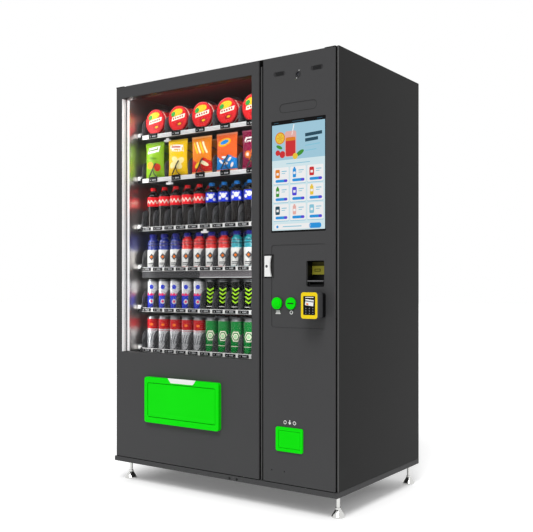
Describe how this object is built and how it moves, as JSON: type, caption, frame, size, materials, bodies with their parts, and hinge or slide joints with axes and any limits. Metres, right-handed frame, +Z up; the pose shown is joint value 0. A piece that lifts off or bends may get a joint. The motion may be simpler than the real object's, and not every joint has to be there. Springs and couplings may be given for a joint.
{
  "type": "snack and drink vending machine",
  "caption": "Full-height snack and drink vending machine with a glass door, a control door with touch screen and payment panel, spiral trays and a push-in delivery flap.",
  "frame": {"origin": "on the floor below the middle of the overall box", "axes": "+Z up, +X to the right of a person who faces the machine, fronts facing -Y"},
  "size_m": [1.29, 0.826, 1.94],
  "materials": {
    "powder_charcoal": "fine matt powder coat, charcoal",
    "powder_dark": "matt powder coat, near black",
    "liner_dark": "glossy dark inner liner",
    "sheet_steel": "plain galvanised sheet",
    "tray_grey": "satin dark grey paint",
    "chrome_feet": "bright plated",
    "clear_glass": "clear, polished",
    "seal_rubber": "matt black",
    "green_plastic": "bright green, smooth",
    "black_plastic": "satin black",
    "white_plastic": "smooth white",
    "yellow_plastic": "smooth yellow",
    "screen_glass": "black display glass",
    "light_diffuser": "milky white diffuser",
    "black_wire": "plastic coated black wire",
    "cup_red": "red printed board",
    "bag_film": "crinkled printed film",
    "bottle_pet": "dark filled bottle",
    "sport_pet": "clear bottle with a blue drink",
    "slim_can": "blue lacquer",
    "can_red": "red lacquer",
    "compressor_black": "gloss black enamel"
  },
  "bodies": {
    "cabinet": {"base_tray": "powder_charcoal", "levelling_feet": "chrome_feet", "left_side_panel": "powder_charcoal", "right_side_panel": "powder_charcoal", "rear_panel": "sheet_steel", "top_panel": "powder_charcoal", "compartment_divider": "powder_dark", "chiller_liner": "liner_dark", "machine_deck": "sheet_steel", "delivery_bin": "powder_dark", "door_hinges": "sheet_steel", "tray_runners": "sheet_steel", "trays": "tray_grey", "lane_dividers": "tray_grey", "price_rails": "white_plastic", "spiral_motors": "white_plastic", "bag_spirals": "black_wire", "stock_bags": "bag_film", "stock_bottles": "bottle_pet", "stock_sports_bottles": "sport_pet", "stock_slim_cans": "slim_can", "stock_cans": "can_red", "light_bars": "light_diffuser", "compressor": "compressor_black", "condenser": "sheet_steel", "evaporator": "white_plastic", "control_box": "sheet_steel"},
    "glass_door": {"glass_door_frame": "powder_charcoal", "window_panes": "clear_glass", "door_seal": "seal_rubber", "delivery_bezel": "green_plastic", "bezel_tab": "white_plastic"},
    "delivery_flap": {"delivery_flap": "green_plastic"},
    "control_door": {"control_door_panel": "powder_charcoal", "touch_screen": "screen_glass", "speaker_grilles": "black_plastic", "camera": "black_plastic", "cover_strip": "powder_charcoal", "payment_plate": "powder_charcoal", "bill_acceptor": "black_plastic", "card_terminal": "black_plastic", "terminal_face": "yellow_plastic", "coin_entry": "green_plastic", "coin_mechanism": "black_plastic", "coin_cup": "green_plastic"},
    "change_button": {"change_button": "green_plastic"},
    "lock_paddle": {"lock_paddle": "white_plastic"},
    "lock_cylinder": {"lock_cylinder": "sheet_steel"},
    "coin_flap": {"coin_flap": "green_plastic"},
    "condenser_fan": {"condenser_fan": "black_plastic"},
    "spiral_1": {"spiral_1": "black_wire"},
    "cup_stack_1": {"cup_stack_1": "cup_red"},
    "spiral_2": {"spiral_2": "black_wire"},
    "cup_stack_2": {"cup_stack_2": "cup_red"},
    "spiral_3": {"spiral_3": "black_wire"},
    "cup_stack_3": {"cup_stack_3": "cup_red"},
    "spiral_4": {"spiral_4": "black_wire"},
    "cup_stack_4": {"cup_stack_4": "cup_red"},
    "spiral_5": {"spiral_5": "black_wire"},
    "cup_stack_5": {"cup_stack_5": "cup_red"}
  },
  "joints": [
    {"name": "glass_door_hinge", "type": "hinge", "parent": "cabinet", "child": "glass_door", "pos_m": [-0.628, -0.3395, 1], "axis": [0, 0, -1], "range_deg": [0, 110]},
    {"name": "control_door_hinge", "type": "hinge", "parent": "cabinet", "child": "control_door", "pos_m": [0.628, -0.3395, 1], "axis": [0, 0, 1], "range_deg": [0, 110]},
    {"name": "delivery_flap_hinge", "type": "hinge", "parent": "glass_door", "child": "delivery_flap", "pos_m": [-0.1935, -0.357, 0.488], "axis": [1, 0, 0], "range_deg": [0, 70]},
    {"name": "coin_flap_hinge", "type": "hinge", "parent": "control_door", "child": "coin_flap", "pos_m": [0.411, -0.347, 0.342], "axis": [1, 0, 0], "range_deg": [0, 55]},
    {"name": "change_button_slide", "type": "slide", "parent": "control_door", "child": "change_button", "axis": [0, 1, 0], "range_m": [0, 0.004], "stiffness_N_per_m": 800},
    {"name": "lock_paddle_hinge", "type": "hinge", "parent": "control_door", "child": "lock_paddle", "pos_m": [0.281, -0.3422, 1.044], "axis": [0, 0, -1], "range_deg": [0, 35], "stiffness_Nm_per_rad": 0.3},
    {"name": "lock_cylinder_turn", "type": "hinge", "parent": "lock_paddle", "child": "lock_cylinder", "pos_m": [0.2927, -0.3457, 1.044], "axis": [0, 1, 0], "range_deg": [0, 90]},
    {"name": "condenser_fan_spin", "type": "hinge", "parent": "cabinet", "child": "condenser_fan", "pos_m": [-0.4135, 0.272, 0.243], "axis": [0, 1, 0], "continuous": true},
    {"name": "spiral_1_turn", "type": "hinge", "parent": "cabinet", "child": "spiral_1", "pos_m": [-0.5096, 0, 1.7772], "axis": [0, 1, 0], "range_deg": [0, 360]},
    {"name": "cup_stack_1_slide", "type": "slide", "parent": "cabinet", "child": "cup_stack_1", "axis": [0, -1, 0], "range_m": [0, 0.084]},
    {"name": "spiral_2_turn", "type": "hinge", "parent": "cabinet", "child": "spiral_2", "pos_m": [-0.3553, 0, 1.7772], "axis": [0, 1, 0], "range_deg": [0, 360]},
    {"name": "cup_stack_2_slide", "type": "slide", "parent": "cabinet", "child": "cup_stack_2", "axis": [0, -1, 0], "range_m": [0, 0.084]},
    {"name": "spiral_3_turn", "type": "hinge", "parent": "cabinet", "child": "spiral_3", "pos_m": [-0.201, 0, 1.7772], "axis": [0, 1, 0], "range_deg": [0, 360]},
    {"name": "cup_stack_3_slide", "type": "slide", "parent": "cabinet", "child": "cup_stack_3", "axis": [0, -1, 0], "range_m": [0, 0.084]},
    {"name": "spiral_4_turn", "type": "hinge", "parent": "cabinet", "child": "spiral_4", "pos_m": [-0.0467, 0, 1.7772], "axis": [0, 1, 0], "range_deg": [0, 360]},
    {"name": "cup_stack_4_slide", "type": "slide", "parent": "cabinet", "child": "cup_stack_4", "axis": [0, -1, 0], "range_m": [0, 0.084]},
    {"name": "spiral_5_turn", "type": "hinge", "parent": "cabinet", "child": "spiral_5", "pos_m": [0.1076, 0, 1.7772], "axis": [0, 1, 0], "range_deg": [0, 360]},
    {"name": "cup_stack_5_slide", "type": "slide", "parent": "cabinet", "child": "cup_stack_5", "axis": [0, -1, 0], "range_m": [0, 0.084]}
  ],
  "couplings": [
    {"joint": "cup_stack_1_slide", "follows": "spiral_1_turn", "m_per_rad": 0.013369},
    {"joint": "cup_stack_2_slide", "follows": "spiral_2_turn", "m_per_rad": 0.013369},
    {"joint": "cup_stack_3_slide", "follows": "spiral_3_turn", "m_per_rad": 0.013369},
    {"joint": "cup_stack_4_slide", "follows": "spiral_4_turn", "m_per_rad": 0.013369},
    {"joint": "cup_stack_5_slide", "follows": "spiral_5_turn", "m_per_rad": 0.013369}
  ]
}
